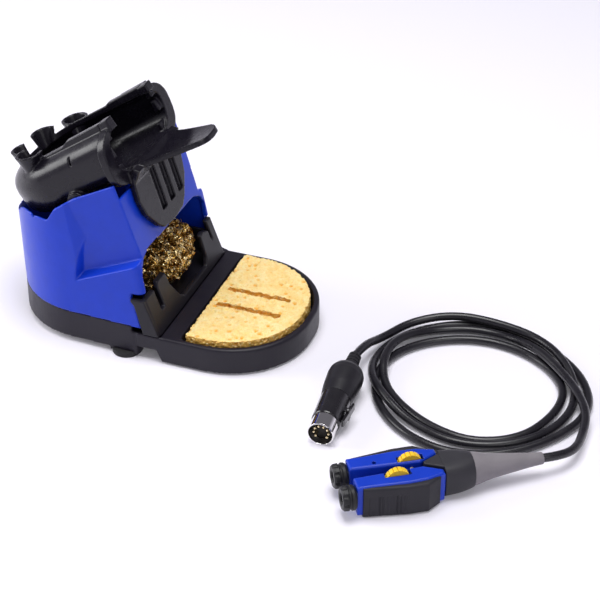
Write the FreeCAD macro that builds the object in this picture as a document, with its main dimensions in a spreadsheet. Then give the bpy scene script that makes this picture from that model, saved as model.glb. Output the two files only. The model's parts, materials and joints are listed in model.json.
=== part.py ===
"""Soldering iron station: a stand with a tilting receptacle, two tip cleaners and a plug-in tweezer handpiece."""
import math
import os

import FreeCAD
import Part
import Sketcher
from FreeCAD import Placement, Rotation, Vector

# Driving sizes in millimetres (angles in degrees); every one becomes a named cell of the sheet.
DIMS = {
    "stand_x": -55.09, "stand_y": 41.82,
    "base_half": 45.4, "rear_radius": 43.4, "base_wall": 2.5, "base_top": 18.5, "tray_top": 15.0,
    "well_floor": 4.0,
    "housing_top_radius": 38.8, "housing_wall": 2.5,
    "foot_radius": 7.5, "foot_height": 2.5,
    "plate_thickness": 3.0,
    "case_travel_slope": 15.0,
    "sponge_height": 13.2, "sponge_slit_depth": 3.5,
    "trough_slope": 34.5, "trough_half": 34.0, "trough_depth": 15.5, "trough_wall": 3.0,
    "collar_half": 37.5, "collar_depth": 18.9,
    "pin_radius": 2.0, "washer_radius": 4.6, "washer_thickness": 0.7,
    "hand_yaw": 33.7, "arm_low": 0.8, "arm_high": 17.2, "grip_low": 0.1, "grip_high": 16.6,
    "wheel_radius": 5.8, "wheel_width": 3.2, "axle_radius": 1.0, "axle_length": 5.4,
    "nose_radius": 6.0, "nose_bore": 2.7, "socket_radius": 2.6, "socket_bore": 1.9,
    "arm_pin_radius": 1.1, "arm_pin_length": 13.0,
    "plug_yaw": 93.65, "plug_pitch": 3.46, "plug_shell_radius": 6.6, "plug_pin_radius": 0.65,
    "cord_diameter": 4.3,
}
PIVOT_U, PIVOT_W = 18.3, 2.0
AXIS_U = Vector(1, 0, 0)
AXIS_Y = Vector(0, 1, 0)
AXIS_Z = Vector(0, 0, 1)
SIDES = (-1, 1)

doc = FreeCAD.newDocument("iron_station")
sheet = doc.addObject("Spreadsheet::Sheet", "dims")
for row, (cell_name, cell_value) in enumerate(DIMS.items(), start=1):
    sheet.set("A%d" % row, cell_name)
    sheet.set("B%d" % row, "%g" % cell_value)
    sheet.setAlias("B%d" % row, cell_name)
doc.recompute()
nodes = []


def size(name):
    return float(sheet.get(name))


# Frames: the stand's own frame, the sloping receptacle frame, the handpiece frame and the plug frame.
STAND = Placement(Vector(size("stand_x"), size("stand_y"), 0), Rotation())
RECEPTACLE = STAND * Placement(Vector(-60, 0, 68), Rotation(AXIS_Y, -size("trough_slope")))
FRONT_FACE = Placement(Vector(-24, 0, 94), Rotation(AXIS_Y, -17.43))
HAND = STAND * Placement(Vector(123.9, -118.8, 0), Rotation(AXIS_Z, size("hand_yaw")))
PLUG = STAND * Placement(
    Vector(99.6, -81.0, 6.6),
    Rotation(AXIS_Z, size("plug_yaw")) * Rotation(AXIS_Y, -size("plug_pitch")),
)


# ---------------------------------------------------------------- outlines and plain shapes
def polyline(points):
    """Closed outline of straight lines through (x, y) pairs."""
    corners = [Vector(x, y, 0) for x, y in points]
    return [Part.LineSegment(a, b) for a, b in zip(corners, corners[1:] + corners[:1])]


def circle(x, y, radius):
    return [Part.Circle(Vector(x, y, 0), AXIS_Z, radius)]


def d_outline(radius, centre, front, half=None):
    """Half circle behind centre, sides running forward to the half-width at front."""
    half = radius if half is None else half
    rear = Part.Arc(Vector(centre, radius, 0), Vector(centre - radius, 0, 0), Vector(centre, -radius, 0))
    corners = [Vector(centre, -radius, 0), Vector(front, -half, 0), Vector(front, half, 0),
               Vector(centre, radius, 0)]
    return [rear] + [Part.LineSegment(a, b) for a, b in zip(corners, corners[1:])]


def tray_outline(inset, back):
    """Sponge tray outline: straight sides, two corner arcs of 42.4 and a front arc of 92."""
    half = size("base_half") - inset
    corner, front, shift = 42.4 - inset, 92.0 - inset, 23.5
    lean = math.atan2(3.0, shift + 26.0)
    meet = Vector(-26 + front * math.cos(lean), front * math.sin(lean), 0)
    middle = math.radians(47)
    bend = Vector(shift + corner * math.cos(middle), 3 + corner * math.sin(middle), 0)

    def mirrored(point):
        return Vector(point.x, -point.y, 0)

    return [
        Part.LineSegment(Vector(back, -half, 0), Vector(shift, -half, 0)),
        Part.Arc(Vector(shift, -half, 0), mirrored(bend), mirrored(meet)),
        Part.Arc(mirrored(meet), Vector(-26 + front, 0, 0), meet),
        Part.Arc(meet, bend, Vector(shift, half, 0)),
        Part.LineSegment(Vector(shift, half, 0), Vector(back, half, 0)),
        Part.LineSegment(Vector(back, half, 0), Vector(back, -half, 0)),
    ]


def wire(curves):
    return Part.Wire([curve.toShape() for curve in curves])


def prism(curves, low, high):
    """Outline in the XY plane raised from low to high."""
    face = Part.Face(wire(curves))
    face.translate(Vector(0, 0, low))
    return face.extrude(Vector(0, 0, high - low))


def side_prism(points, low_y, high_y):
    """Polygon of (x, z) pairs running from low_y to high_y."""
    corners = [Vector(x, low_y, z) for x, z in points]
    return Part.Face(Part.makePolygon(corners + corners[:1])).extrude(Vector(0, high_y - low_y, 0))


def front_prism(points, low_x, high_x):
    """Polygon of (y, z) pairs running from low_x to high_x."""
    corners = [Vector(low_x, y, z) for y, z in points]
    return Part.Face(Part.makePolygon(corners + corners[:1])).extrude(Vector(high_x - low_x, 0, 0))


def block(low, high):
    return Part.makeBox(high[0] - low[0], high[1] - low[1], high[2] - low[2], Vector(*low))


def rod(radius, start, end):
    direction = Vector(*end) - Vector(*start)
    return Part.makeCylinder(radius, direction.Length, Vector(*start), direction)


def mirror_y(shape):
    return shape.mirror(Vector(0, 0, 0), AXIS_Y)


def rounded(shape, radius, chosen):
    """Round every edge that chosen accepts."""
    return shape.makeFillet(radius, [edge for edge in shape.Edges if chosen(edge)])


def middle_of(edge):
    return edge.valueAt((edge.FirstParameter + edge.LastParameter) / 2)


# ---------------------------------------------------------------- document objects
def add_feature(name, shape, place):
    """Part::Feature for a sculpted piece whose shape no plain feature gives."""
    node = doc.addObject("Part::Feature", name)
    node.Label = name
    node.Shape = shape.removeSplitter()
    node.Placement = place
    nodes.append(node)
    return node


def add_body(name, place):
    body = doc.addObject("PartDesign::Body", name)
    body.Label = name
    body.Placement = place
    nodes.append(body)
    return body


def add_sketch(body, plane, curves, offset=0.0):
    sketch = body.newObject("Sketcher::SketchObject", body.Name + "_sketch")
    support = [item for item in body.Origin.OriginFeatures if item.Role == plane][0]
    sketch.AttachmentSupport = [(support, "")]
    sketch.MapMode = "FlatFace"
    sketch.AttachmentOffset = Placement(Vector(0, 0, offset), Rotation())
    for curve in curves:
        sketch.addGeometry(curve, False)
    return sketch


def drive_radius(sketch, index, cell):
    """Tie the radius of one circle of the sketch to a cell."""
    number = sketch.addConstraint(Sketcher.Constraint("Radius", index, size(cell)))
    sketch.setExpression("Constraints[%d]" % number, "dims." + cell)


def add_pad(body, sketch, length):
    """Pad by a named cell, an expression or a number."""
    pad = body.newObject("PartDesign::Pad", body.Name + "_pad")
    pad.Profile = sketch
    if isinstance(length, str):
        pad.setExpression("Length", length)
    else:
        pad.Length = length
    sketch.Visibility = False
    return pad


def add_pocket(body, sketch, length, reverse=False):
    pocket = body.newObject("PartDesign::Pocket", body.Name + "_pocket")
    pocket.Profile = sketch
    pocket.Reversed = reverse
    if isinstance(length, str):
        pocket.setExpression("Length", length)
    else:
        pocket.Length = length
    return pocket


def add_turning(body, points, kind="Revolution"):
    """Turn (x, radius) points about the body's X axis, as material or as a groove."""
    sketch = add_sketch(body, "XZ_Plane", polyline(points))
    turning = body.newObject("PartDesign::" + kind, body.Name + "_turned")
    turning.Profile = sketch
    turning.ReferenceAxis = (sketch, ["H_Axis"])
    turning.Angle = 360.0
    return turning


def add_ring_of(body, feature, sketch_axis, count):
    pattern = body.newObject("PartDesign::PolarPattern", body.Name + "_ring")
    pattern.Originals = [feature]
    pattern.Axis = (sketch_axis, ["N_Axis"])
    pattern.Angle = 360.0
    pattern.Occurrences = count
    body.Tip = pattern
    return pattern


# ---------------------------------------------------------------- base, feet and ballast
REAR_CENTRE = -48.7
FOOT_SPOTS = ((-20.7, -40.2), (-20.7, 40.2), (-81.0, 0.0), (44.0, -22.0), (44.0, 22.0))
PEG_SPOTS = ((-54.0, -16.0), (-54.0, 16.0), (-28.0, 0.0))
POST_SPOTS = ((-51.0, -35.6), (-51.0, 35.6), (-77.0, -21.5), (-77.0, 21.5))


def base_outline(inset, front):
    return d_outline(size("rear_radius") - inset, REAR_CENTRE, front, size("base_half") - inset)


def base_outer():
    rear = prism(base_outline(0, 0.5), 3, size("base_top"))
    slope = side_prism([(-12, 18.5), (0.2, 15), (2, 15), (2, 30), (-12, 30)], -50, 50)
    under = side_prism([(-19.5, -1), (-19.5, 7), (-2, 7), (1.0, 1), (1.0, -1)], -50, 50)
    tray = prism(tray_outline(0, 0), 1, size("tray_top"))
    lip = rounded(tray, 1.3, lambda e: abs(middle_of(e).z - 15) < 0.01 and middle_of(e).x > 1)
    return lip.fuse(rear).cut(slope).cut(under)


def base_tray():
    wall, top = size("base_wall"), size("base_top")
    solid = base_outer()
    solid = solid.cut(prism(base_outline(wall, -22), 5.5, top + 1))
    solid = solid.cut(prism(base_outline(wall, -3.5), 9.4, top + 1))
    well = prism(tray_outline(3.0, 10.0), size("well_floor"), 20)
    well = rounded(well, 3.0, lambda e: e.Length > 10 and abs(middle_of(e).x - 10) < 0.1 and e.Length < 20)
    solid = solid.cut(well)
    inside = prism(base_outline(0.2, -2), 0, 7)
    for x, y in FOOT_SPOTS:
        if x < 40:
            solid = solid.fuse(rod(8.6, (x, y, 1.0), (x, y, 7.0)).common(inside))
        solid = solid.cut(rod(size("foot_radius") + 0.05, (x, y, 0), (x, y, size("foot_height"))))
    for side in SIDES:
        edge = side * size("base_half")
        solid = solid.cut(block((-14.5, edge - 1.0, 6), (-12.6, edge + 1.0, 20)))
    for x, y in POST_SPOTS:
        solid = solid.cut(rod(1.7, (x, y, 0), (x, y, 8)))
        solid = solid.cut(rod(3.2, (x, y, 0), (x, y, 4.3)))
    for x, y in PEG_SPOTS:
        solid = solid.fuse(rod(1.95, (x, y, 5), (x, y, 8.2)))
    for y in (-33.0, 33.0):
        solid = solid.fuse(block((-44, y - 1, 5.4), (-23, y + 1, 13.6)))
    solid = solid.cut(block((-4, -43.4, 13.6), (0.35, 41.9, 20)))
    solid = solid.cut(block((-15.6, -47, 14.9), (0.35, -42.3, 20)))
    add_feature("base_tray", solid, STAND)


def rubber_feet():
    body = add_body("rubber_feet", STAND)
    sketch = add_sketch(body, "XY_Plane", [circle(x, y, size("foot_radius"))[0] for x, y in FOOT_SPOTS])
    for index in range(len(FOOT_SPOTS)):
        drive_radius(sketch, index, "foot_radius")
    add_pad(body, sketch, "dims.foot_height")


def ballast_plate():
    body = add_body("ballast_plate", STAND)
    holes = [circle(x, y, 2.0)[0] for x, y in PEG_SPOTS]
    sketch = add_sketch(body, "XY_Plane", d_outline(26, -43, -24) + holes, 5.5)
    add_pad(body, sketch, "dims.plate_thickness")


def housing_screws():
    """Four identical screws, driven up through the base into the posts of the housing."""
    screws = []
    for x, y in POST_SPOTS:
        head = rod(2.9, (x, y, 2.6), (x, y, 4.3))
        shank = rod(1.45, (x, y, 4.3), (x, y, 15.0))
        slot = block((x - 3, y - 0.4, 2.5), (x + 3, y + 0.4, 3.3))
        screws.append(head.fuse(shank).cut(slot))
    add_feature("housing_screws", Part.makeCompound(screws), STAND)


# ---------------------------------------------------------------- blue housing
def housing_loft(inset, low, high):
    """Tapered D: as wide as the base at its foot, narrower and further back at the top."""
    span = 97.0 - size("base_top")
    wires = []
    for height in (low, high):
        share = (height - size("base_top")) / span
        radius = size("rear_radius") + (size("housing_top_radius") - size("rear_radius")) * share - inset
        half = size("base_half") + (38.8 - size("base_half")) * share - inset
        section = wire(d_outline(radius, REAR_CENTRE - 7.7 * share, 12, half + 0.6 * (1 - share)))
        section.translate(Vector(0, 0, height))
        wires.append(section)
    return Part.makeLoft(wires, True, True)


def side_scoop(side):
    """Sunken panel on one flank: open to the front and to the top, with a wide slope behind it."""
    deep = [(-44.5, 40.5), (8, 63.5), (8, 112), (-60, 112), (-48.8, 78), (-41.6, 62)]
    wide = [(-48.5, 35), (8, 61), (8, 112), (-75, 112), (-63, 75), (-50.5, 39)]
    inner = [Vector(x, side * (36.9 + 0.035 * (z - 40) - 0.05 * (x + 40)), z) for x, z in deep]
    outer = [Vector(x, side * 46.0, z) for x, z in wide]
    return Part.makeLoft([Part.makePolygon(ring + ring[:1]) for ring in (inner, outer)], True, True)


def flank(side, low, high, plan):
    """Space beyond a line of (x, y) pairs in plan, where the side wall thickens inwards."""
    points = [(x, side * y) for x, y in plan] + [(plan[-1][0], side * 60), (plan[0][0], side * 60)]
    return prism(polyline(points), low, high)


def housing_window():
    """Opening for the wool case, wider below than at its top."""
    edge = [(-39.5, 10), (39.5, 10), (39.5, 46), (35.5, 51.5), (29, 54.4), (-28, 55.8),
            (-34.5, 53.6), (-38, 50.5), (-39.5, 46)]
    return front_prism(edge, -18, 12)


def housing():
    wall = size("housing_wall")
    profile = [(-120, 18.5), (-120, 67.2), (-62, 68.2), (-57.5, 75.5), (-46.7, 83.3), (-24, 94.8),
               (-10.5, 51), (-5.5, 18.5)]
    outer = housing_loft(0, size("base_top"), 97).common(side_prism(profile, -60, 60))
    outer = rounded(outer, 4.0, lambda e: abs(middle_of(e).y) > 38 and middle_of(e).x > -18 and e.Length > 25
                    and abs(e.tangentAt(e.FirstParameter).z) > 0.6)
    room = [(-120, 10), (-120, 110), (-31.4, 110), (-13.2, 51), (-8.2, 18), (-6, 10)]
    cavity = housing_loft(wall, 14, 99).common(side_prism(room, -60, 60))
    below_scoop = side_prism([(-60, 20), (-60, 29.7), (10, 61.9), (10, 20)], -60, 60)
    for side in SIDES:
        cavity = cavity.cut(flank(side, 29, 74, [(-54, 35.6), (0, 33.3)]).cut(below_scoop))
        cavity = cavity.cut(flank(side, 74, 120, [(-54, 36.9), (-36, 36.9), (0, 35.0)]))
    solid = outer.cut(cavity).cut(housing_window())
    for side in SIDES:
        solid = solid.cut(side_scoop(side))
    seat = block((-10, -36.5, -5.8), (90, 36.5, 60))
    seat.Placement = STAND.inverse() * RECEPTACLE
    hollow = bowl(size("trough_half") + 0.6, size("trough_depth") + 0.6, 13, 3.2, 5)
    hollow.Placement = seat.Placement
    solid = solid.cut(seat).cut(hollow)
    step = housing_loft(1.3, 65.4, 99).cut(block((-62, -60, 0), (20, 60, 120)))
    solid = solid.cut(step.cut(housing_loft(wall + 1, 60, 99)))
    whole = housing_loft(0.4, 18.5, 97).fuse(block((-95, -40.5, 5.5), (0, 40.5, 18.6)))
    for x, y in POST_SPOTS:
        web = block((0, -1.2, 19), (9, 1.2, 34))
        web.Placement = Placement(Vector(x, y, 0), Rotation(AXIS_Z, math.degrees(math.atan2(y, x - REAR_CENTRE))))
        post = rod(3.9, (x, y, 5.5), (x, y, 34)).fuse(web).cut(rod(1.45, (x, y, 5), (x, y, 15)))
        solid = solid.fuse(post.common(whole))
    x, z = tilt_axis()
    for side in SIDES:
        solid = solid.cut(rod(size("pin_radius") + 0.05, (x, side * 36, z), (x, side * 37.8, z)))
    return solid.cut(case_clearance())


def tilt_axis():
    """Where the receptacle's tilt axis crosses the stand's XZ plane."""
    point = (STAND.inverse() * RECEPTACLE).multVec(Vector(PIVOT_U, 0, PIVOT_W))
    return point.x, point.z


def case_clearance():
    """Room left for the front wall and corner tabs of the wool case."""
    slab = side_prism([(0.5, 14), (0.5, 15), (-7.6, 37.2), (-11.0, 37.2), (-2.9, 14)], -46, 46)
    corners = [side_prism([(0.5, 14), (-7.6, 37.2), (-15.4, 37.2), (-15.4, 33), (-13.4, 31), (-9.4, 15)],
                          side * 43.4 - 3.5, side * 43.4 + 3.5) for side in (-1,)]
    return slab.fuse(corners)


# ---------------------------------------------------------------- cleaners
def wool_case():
    """Pull-out insert: sloping front wall with cut-outs, and a tray for the wool behind it."""
    edge = [(-43, 14.8), (41.5, 14.8), (41.5, 36), (36.2, 36), (36.2, 26), (34.4, 26), (34.4, 31.7),
            (29, 33.6), (25.5, 33), (24, 22), (21, 18.6), (-9, 18.6), (-12.5, 21), (-17.4, 29.5),
            (-18, 36.4), (-27.5, 36.4), (-29, 34), (-29, 24), (-33, 24), (-33, 35), (-43, 35)]
    slab = side_prism([(0.0, 14.8), (0.0, 15), (-7.77, 36), (-8.0, 36.6), (-10.6, 36.6), (-2.4, 14.8)], -46, 46)
    wall = front_prism(edge, -14, 2).common(slab)
    tab = side_prism([(-0.2, 15), (-7.77, 35), (-15.0, 35), (-15.0, 33.4), (-13.2, 31.4), (-9.0, 15.2)], -45.2, -42.6)
    tray = block((-44, -38.6, 14), (-6, 38.6, 30))
    tray = tray.cut(block((-42.2, -36.9, 15.8), (0, 36.9, 40)))
    tray = tray.fuse(block((-8, -38.6, 14), (-2.2, 38.6, 15.8)))
    case = wall.fuse(tab).fuse(tray)
    return case.cut(side_prism([(0, 13), (0, 15), (-7.77, 36), (-8.5, 38), (30, 38), (30, 13)], -60, 60))


def brass_wool():
    """Ball of shavings, modelled as one lumpy mass."""
    lump = Part.makeSphere(10)
    matrix = FreeCAD.Matrix()
    matrix.scale(1.85, 2.8, 1.66)
    lump = lump.transformGeometry(matrix)
    lump.translate(Vector(-21.5, 4.0, 32.5))
    return lump


def sponge():
    body = add_body("sponge", STAND)
    outline = tray_outline(4.6, 12.2)
    sketch = add_sketch(body, "XY_Plane", outline, 4.2)
    pad = add_pad(body, sketch, "dims.sponge_height")
    slits = []
    for y in (-8.2, 6.8):
        slits += polyline([(16.5, y - 1.1), (51, y - 1.1), (51, y + 1.1), (16.5, y + 1.1)])
    cut = add_sketch(body, "XY_Plane", slits, 4.2 + size("sponge_height"))
    add_pocket(body, cut, "dims.sponge_slit_depth")
    doc.recompute()
    edges = ["Edge%d" % number for number, edge in enumerate(body.Shape.Edges, start=1)
             if abs(middle_of(edge).z - 17.4) < 0.01 and edge.Length > 38 and abs(middle_of(edge).y) > 9]
    fillet = body.newObject("PartDesign::Fillet", "sponge_soft_edge")
    fillet.Base = (body.Tip, edges)
    fillet.Radius = 1.5
    return pad


# ---------------------------------------------------------------- receptacle
def half_superellipse(half_y, half_w, centre_w, power, drop=None):
    """Curve from the bottom to the top of a superellipse, on the +Y side of the plane u = 0.

    drop is the half-height below the centre where it differs from the one above.
    """
    points = []
    steps = 18
    for step in range(steps + 1):
        turn = -math.pi / 2 + math.pi * step / steps
        y = half_y * abs(math.cos(turn)) ** (2 / power)
        reach = half_w if turn > 0 or drop is None else drop
        w = reach * math.copysign(abs(math.sin(turn)) ** (2 / power), math.sin(turn))
        points.append(Vector(0, y if 0 < step < steps else 0, centre_w + w))
    curve = Part.BSplineCurve()
    curve.interpolate(Points=points, InitialTangent=AXIS_Y, FinalTangent=AXIS_Y * -1)
    return curve.toShape()


def tube_section(half_y, half_w, centre_w, power, start, end, drop=None):
    curve = half_superellipse(half_y, half_w, centre_w, power, drop)
    face = Part.Face(Part.Wire([curve, mirror_y(curve)]))
    face.translate(Vector(start, 0, 0))
    return face.extrude(Vector(end - start, 0, 0))


def bowl(half_y, half_w, centre_w, power, centre_u):
    curve = half_superellipse(half_y, half_w, centre_w, power)
    low, high = curve.Vertexes[0].Point, curve.Vertexes[-1].Point
    face = Part.Face(Part.Wire([curve, Part.makeLine(high, low)]))
    solid = face.revolve(Vector(0, 0, 0), AXIS_Z, 360)
    solid.translate(Vector(centre_u, 0, 0))
    return solid


CUPS = ((-15.2, -8.0, 24.2), (-2.0, -23.5, 24.0), (-13.2, 10.0, 23.6), (-5.0, 27.5, 19.2))
SEAM = [(40.6, -8), (50.2, 40)]


def tip_cups(inset):
    """Funnels for spare tips, leaning back a little from the plumb line."""
    lean = Vector(-0.28, 0, 0.96)
    axis = (STAND.inverse() * RECEPTACLE).inverse().Rotation.multVec(lean)
    cups = []
    for u, y, w in CUPS:
        foot = Vector(u, y, w) - axis * (4.0 - inset)
        cups.append(Part.makeCone(3.4 - inset, 7.4 - inset, 13.0, foot, axis))
    return cups


def trough():
    half, depth, wall = size("trough_half"), size("trough_depth"), size("trough_wall")
    outer = tube_section(half, depth, 13, 3.2, 5, 54).fuse(bowl(half, depth, 13, 3.2, 5))
    for side, fall in ((-1, 0.0), (1, 1.4)):
        rim = side_prism([(4, 22), (4, 27.5 - fall), (21.5, 27.8 - fall), (25.5, 29.4 - fall), (52, 30.0 - fall),
                          (52, 22)], 20.5, 25.0)
        outer = outer.fuse(rim if side > 0 else mirror_y(rim))
    tab = side_prism([(30, 20), (30, 27.4), (52, 28.0), (52, 20)], 24.5, 30.5)
    outer = outer.fuse(tab)
    inner = tube_section(half - wall, depth - wall, 13, 3.2, 5, 60).fuse(
        bowl(half - wall, depth - wall, 13, 3.2, 5))
    mouth = prism(d_outline(21, 5, 60), 13, 50)
    for side in SIDES:
        outer = outer.fuse(across(5.2, side, 25, 35.9))
    solid = outer.fuse(tip_cups(0)).cut(inner).cut(mouth).cut(tip_cups(1.2))
    solid = solid.cut(block((25.6, -36, 19), (26.8, -30.6, 31)))
    solid = solid.cut(side_prism(SEAM + [(80, 40), (80, -8)], -50, 50))
    for side in SIDES:
        solid = solid.cut(across(size("pin_radius"), side, 28, 40))
    return solid


def receptacle_front():
    """Collar, tongue and apron: one heat-resistant moulding on the mouth of the trough."""
    half, depth = size("collar_half"), size("collar_depth")
    behind = side_prism(SEAM + [(0, 40), (0, -8)], -50, 50)
    ring = tube_section(half, depth, 9.8, 3.0, 34.0, 60, drop=15.1)
    ring = ring.cut(tube_section(29.5, 12.6, 13.0, 3.2, 30, 70))
    ring = ring.cut(block((30, -19, 13), (70, 19, 50)))
    ring = ring.cut(side_prism([(43.9, -8), (55.9, 40), (80, 40), (80, -8)], -50, 50))
    for side, top in ((-1, 29.9), (1, 28.2)):
        raised = side_prism([(41, 24), (41, top), (53.4, top + 0.2), (53.4, 24)], 19, 25)
        ring = ring.fuse(raised if side > 0 else mirror_y(raised))
    for side in SIDES:
        for low_w, high_w, reach in ((1.5, 6.5, 22.0), (11.5, 17.5, 25.5), (20.0, 24.5, 23.5)):
            lug = block((42, reach, low_w), (45.0 + 0.25 * low_w, 30.4, high_w))
            ring = ring.fuse(lug if side > 0 else mirror_y(lug))
    ring = ring.cut(behind)
    edges = []
    for side in SIDES:
        corners = [Vector(x, side * y, 0) for x, y in ((43, 20.2), (49, 19.2), (62, 14.8), (79, 10.6))]
        edges += [Part.LineSegment(a, b) for a, b in zip(corners, corners[1:])]
        edges.append(Part.Arc(corners[-1], Vector(83.4, side * 8, 0), Vector(85, side * 3.5, 0)))
    edges.append(Part.LineSegment(Vector(85, -3.5, 0), Vector(85, 3.5, 0)))
    edges.append(Part.LineSegment(Vector(43, -20.2, 0), Vector(43, 20.2, 0)))
    outline = Part.Wire(Part.sortEdges([edge.toShape() for edge in edges])[0])
    plan = Part.Face(outline)
    plan.translate(Vector(0, 0, -10))
    high, low = (30, 0, 57.9), (100, 0, 52.0)
    shell = rod(60, high, low).cut(rod(57.2, high, low))
    return ring.fuse(plan.extrude(Vector(0, 0, 30)).common(shell))


def apron():
    """Plate hanging in front of the housing, with three slots; drawn in the frame of the front face."""
    outline = [(-26, -14.7), (-23.5, -23.6), (-16, -33.5), (-11, -37.2), (0, -38.4), (11, -37.2), (16, -33.5),
               (23.5, -23.6), (26, -14.7), (24.5, -1.5), (-24.5, -1.5)]
    plate = front_prism(outline, 0.7, 3.7)
    for y in (-5.5, 4.5, 14.5):
        plate = plate.cut(block((1.9, y - 2.7, -29), (5, y + 2.7, -3.5)))
    plate = plate.fuse(side_prism([(0.7, -6), (3.7, -6), (8.5, 0.8), (5, 2.5), (0.7, 0)], -24.5, 24.5))
    plate.Placement = (Placement(Vector(-60, 0, 68), RECEPTACLE.Rotation)).inverse() * FRONT_FACE
    return plate


def across(radius, side, near, far):
    """Rod along the tilt axis, between two distances from the middle."""
    return rod(radius, (PIVOT_U, side * near, PIVOT_W), (PIVOT_U, side * far, PIVOT_W))


def tilt_pivots():
    pins = [across(size("pin_radius"), side, 29, 37.6) for side in SIDES]
    add_feature("tilt_pins", Part.makeCompound(pins), RECEPTACLE)
    ring, hole = size("washer_radius"), size("pin_radius") + 0.05
    washers = [across(ring, side, 35.9, 36.6).cut(across(hole, side, 35, 38)) for side in SIDES]
    add_feature("tilt_washers", Part.makeCompound(washers), RECEPTACLE)


# ---------------------------------------------------------------- handpiece (x runs from the noses to the cord)
NOSE_Y, NOSE_Z = 8.3, 10.0
ARM_PIN = (48.5, 5.4)
WHEEL_AT = {-1: (25.0, 4.8, 14.0), 1: (33.5, 4.8, 14.0)}
SPRING_AT = (20.5, 4.6)
GRIP_START = 7.0


def sided(shape, side):
    return shape if side > 0 else mirror_y(shape)


def arm_blank():
    """Visible body of the far arm and the narrower core that its grip wraps."""
    low, high = size("arm_low"), size("arm_high")
    plan = [(4.5, 3.0), (38, 1.6), (46.6, 6.0), (46.6, 9.4), (38, 11.8), (28, 12.3), (12, 11.5), (4.5, 11.5)]
    body = rounded(prism(polyline(plan), low, high), 1.4, lambda e: middle_of(e).z < low + 1e-3
                   or middle_of(e).z > high - 1e-3)
    core = prism(polyline([(7.3, 7), (7.3, 11.7), (28, 13.4), (38, 13.0), (43, 10.6), (43, 7)]), 2.4, 14.6)
    tail = prism(polyline([(44, 3.0), (48.5, 2.8), (48.5, 8.0), (44, 8.0)]), 5.2, 13.8)
    return body.fuse(core).fuse(tail).fuse(rod(2.6, (*ARM_PIN, 5.2), (*ARM_PIN, 13.8)))


def arm(side):
    solid = arm_blank()
    x, y, z = WHEEL_AT[side]
    solid = solid.cut(block((x - 6.3, y - 1.9, z - 6.3), (x + 6.3, y + 1.9, 20)))
    solid = solid.cut(rod(size("axle_radius"), (x, y - 2.8, z), (x, y + 2.8, z)))
    solid = solid.cut(rod(size("socket_radius"), (0, NOSE_Y, NOSE_Z), (18, NOSE_Y, NOSE_Z)))
    solid = solid.cut(rod(size("arm_pin_radius") + 0.06, (*ARM_PIN, 0), (*ARM_PIN, 20)))
    spring_x, spring_z = SPRING_AT
    depth, radius = (5.6, 2.9) if side > 0 else (5.02, 2.2)
    solid = solid.cut(rod(radius, (spring_x, 0, spring_z), (spring_x, depth, spring_z)))
    if side > 0:
        solid = solid.cut(rod(1.0, (16.5, 5.2, 14.5), (16.5, 5.2, 20)))
    else:
        solid = solid.cut(rod(0.9, (33, 0, 15.3), (33, 3.6, 15.3)))
    return sided(solid, side)


def grip(side):
    """Rubber pad wrapped over the outside of an arm, grooved for the fingers."""
    low, high = size("grip_low"), size("grip_high")
    rim = [(GRIP_START, 12.3), (28, 15.0), (37.5, 15.0), (44.2, 10.6)]
    inner = [(44.2, 9.4), (38, 11.2), (28, 11.6), (12, 9.7), (GRIP_START, 9.15)]
    pad = prism(polyline(rim + inner), low, high)
    pad = rounded(pad, 1.3, lambda e: middle_of(e).y > 10.5 and abs(middle_of(e).x - GRIP_START) > 0.5
                  and (middle_of(e).z < low + 1e-3 or middle_of(e).z > high - 1e-3))
    rise = (15.0 - 12.3) / (28 - GRIP_START)
    x = 9.4
    while x < 27.5:
        y = 12.3 + rise * (x - GRIP_START)
        pad = pad.cut(block((x, y - 0.45, low - 1), (x + 0.7, y + 1.0, 12.2)))
        x += 1.6
    return sided(pad.cut(arm_blank()), side)


def wheel(side):
    x, y, z = WHEEL_AT[side]
    name = "near_wheel" if side < 0 else "far_wheel"
    body = add_body(name, HAND * Placement(Vector(x, side * y, z), Rotation()))
    sketch = add_sketch(body, "XZ_Plane", circle(0, 0, 5.8) + circle(0, 0, 1.06))
    drive_radius(sketch, 0, "wheel_radius")
    pad = add_pad(body, sketch, "dims.wheel_width")
    pad.Midplane = True
    notch = add_sketch(body, "XZ_Plane", polyline([(-0.42, 6.3), (0, 5.1), (0.42, 6.3)]))
    cut = add_pocket(body, notch, 8.0)
    cut.Midplane = True
    doc.recompute()
    add_ring_of(body, cut, sketch, 16)


def nose(side):
    """Ribbed locking ring that turns on the cartridge socket."""
    name = "near_nose" if side < 0 else "far_nose"
    body = add_body(name, HAND * Placement(Vector(0, side * NOSE_Y, NOSE_Z), Rotation()))
    bore = size("nose_bore")
    outline = [(-2.5, bore + 0.6), (-1.9, bore), (4.1, bore), (4.1, 5.3), (3.2, 6.0), (1.9, 6.0), (1.5, 5.4),
               (0.8, 5.4), (0.4, 6.0), (-1.6, 5.8), (-2.5, 5.0)]
    add_turning(body, outline)
    flute = add_sketch(body, "YZ_Plane", circle(6.6, 0, 1.35), -3.0)
    cut = add_pocket(body, flute, 3.1, reverse=True)
    doc.recompute()
    add_ring_of(body, cut, flute, 8)


def straight_pin(name, place, radius_cell, length_cell, plane="XY_Plane", midplane=True):
    body = add_body(name, place)
    sketch = add_sketch(body, plane, circle(0, 0, size(radius_cell)))
    drive_radius(sketch, 0, radius_cell)
    pad = add_pad(body, sketch, "dims." + length_cell)
    pad.Midplane = midplane
    return body


def socket(side):
    name = "near_socket" if side < 0 else "far_socket"
    body = add_body(name, HAND * Placement(Vector(0, side * NOSE_Y, NOSE_Z), Rotation()))
    outer, bore = size("socket_radius"), size("socket_bore")
    add_turning(body, [(-1.4, bore), (-1.4, outer), (18, outer), (18, 0), (16.5, 0), (16.5, bore)])


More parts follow.
